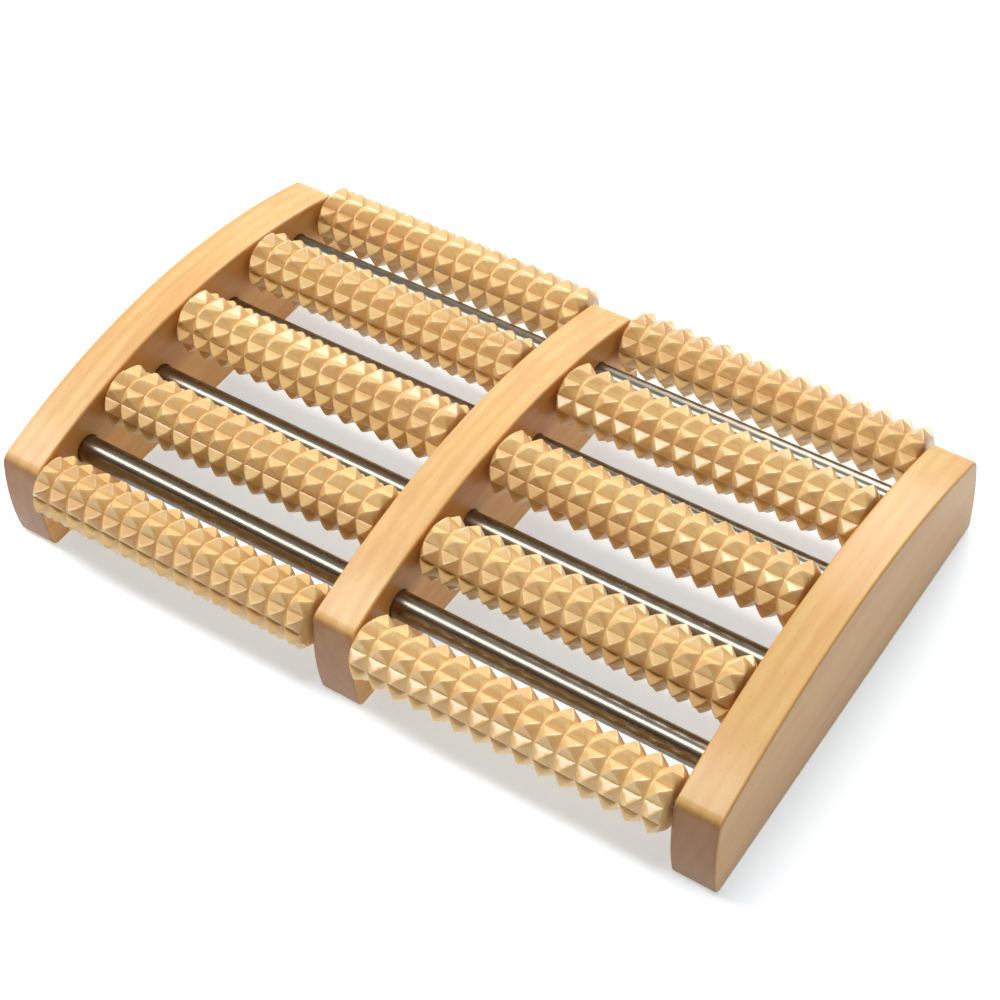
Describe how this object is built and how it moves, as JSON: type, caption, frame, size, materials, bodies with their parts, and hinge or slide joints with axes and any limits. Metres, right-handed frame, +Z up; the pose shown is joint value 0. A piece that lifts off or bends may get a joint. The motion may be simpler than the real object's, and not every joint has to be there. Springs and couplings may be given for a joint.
{
  "type": "foot massage roller",
  "caption": "A wooden foot massager: three arched rails carry steel cross rods and two rows of studded wooden rollers that spin freely under the feet.",
  "frame": {"origin": "on the floor, under the middle of the middle rail, at the middle of the whole massager", "axes": "+X along the rollers from the left rail to the right rail, +Y from the front ends of the rails to their back ends, +Z up"},
  "size_m": [0.29, 0.1863, 0.0531],
  "materials": {
    "rail_wood": "pale honey wood with fine long grain and a clear satin lacquer",
    "roller_wood": "pale peach turned wood, cut with pyramid studs, clear gloss lacquer",
    "rod_steel": "smooth polished steel rod",
    "pin_steel": "plain turned steel pin"
  },
  "bodies": {
    "frame": {"rail_left": "rail_wood", "rail_middle": "rail_wood", "rail_right": "rail_wood", "rod_left_1": "rod_steel", "rod_left_2": "rod_steel", "rod_left_3": "rod_steel", "rod_left_4": "rod_steel", "rod_right_1": "rod_steel", "rod_right_2": "rod_steel", "rod_right_3": "rod_steel", "rod_right_4": "rod_steel"},
    "spinner_left_1": {"roller_left_1": "roller_wood", "axle_pin_left_1_west": "pin_steel", "axle_pin_left_1_east": "pin_steel"},
    "spinner_left_2": {"roller_left_2": "roller_wood", "axle_pin_left_2_west": "pin_steel", "axle_pin_left_2_east": "pin_steel"},
    "spinner_left_3": {"roller_left_3": "roller_wood", "axle_pin_left_3_west": "pin_steel", "axle_pin_left_3_east": "pin_steel"},
    "spinner_left_4": {"roller_left_4": "roller_wood", "axle_pin_left_4_west": "pin_steel", "axle_pin_left_4_east": "pin_steel"},
    "spinner_left_5": {"roller_left_5": "roller_wood", "axle_pin_left_5_west": "pin_steel", "axle_pin_left_5_east": "pin_steel"},
    "spinner_right_1": {"roller_right_1": "roller_wood", "axle_pin_right_1_west": "pin_steel", "axle_pin_right_1_east": "pin_steel"},
    "spinner_right_2": {"roller_right_2": "roller_wood", "axle_pin_right_2_west": "pin_steel", "axle_pin_right_2_east": "pin_steel"},
    "spinner_right_3": {"roller_right_3": "roller_wood", "axle_pin_right_3_west": "pin_steel", "axle_pin_right_3_east": "pin_steel"},
    "spinner_right_4": {"roller_right_4": "roller_wood", "axle_pin_right_4_west": "pin_steel", "axle_pin_right_4_east": "pin_steel"},
    "spinner_right_5": {"roller_right_5": "roller_wood", "axle_pin_right_5_west": "pin_steel", "axle_pin_right_5_east": "pin_steel"}
  },
  "joints": [
    {"name": "spin_left_1", "type": "hinge", "parent": "frame", "child": "spinner_left_1", "pos_m": [-0.06835, -0.0814, 0.0291], "axis": [1, 0, 0], "continuous": true},
    {"name": "spin_left_2", "type": "hinge", "parent": "frame", "child": "spinner_left_2", "pos_m": [-0.06835, -0.0407, 0.0379], "axis": [1, 0, 0], "continuous": true},
    {"name": "spin_left_3", "type": "hinge", "parent": "frame", "child": "spinner_left_3", "pos_m": [-0.06835, 0, 0.0412], "axis": [1, 0, 0], "continuous": true},
    {"name": "spin_left_4", "type": "hinge", "parent": "frame", "child": "spinner_left_4", "pos_m": [-0.06835, 0.0407, 0.0379], "axis": [1, 0, 0], "continuous": true},
    {"name": "spin_left_5", "type": "hinge", "parent": "frame", "child": "spinner_left_5", "pos_m": [-0.06835, 0.0814, 0.0291], "axis": [1, 0, 0], "continuous": true},
    {"name": "spin_right_1", "type": "hinge", "parent": "frame", "child": "spinner_right_1", "pos_m": [0.06835, -0.0814, 0.0291], "axis": [1, 0, 0], "continuous": true},
    {"name": "spin_right_2", "type": "hinge", "parent": "frame", "child": "spinner_right_2", "pos_m": [0.06835, -0.0407, 0.0379], "axis": [1, 0, 0], "continuous": true},
    {"name": "spin_right_3", "type": "hinge", "parent": "frame", "child": "spinner_right_3", "pos_m": [0.06835, 0, 0.0412], "axis": [1, 0, 0], "continuous": true},
    {"name": "spin_right_4", "type": "hinge", "parent": "frame", "child": "spinner_right_4", "pos_m": [0.06835, 0.0407, 0.0379], "axis": [1, 0, 0], "continuous": true},
    {"name": "spin_right_5", "type": "hinge", "parent": "frame", "child": "spinner_right_5", "pos_m": [0.06835, 0.0814, 0.0291], "axis": [1, 0, 0], "continuous": true}
  ]
}
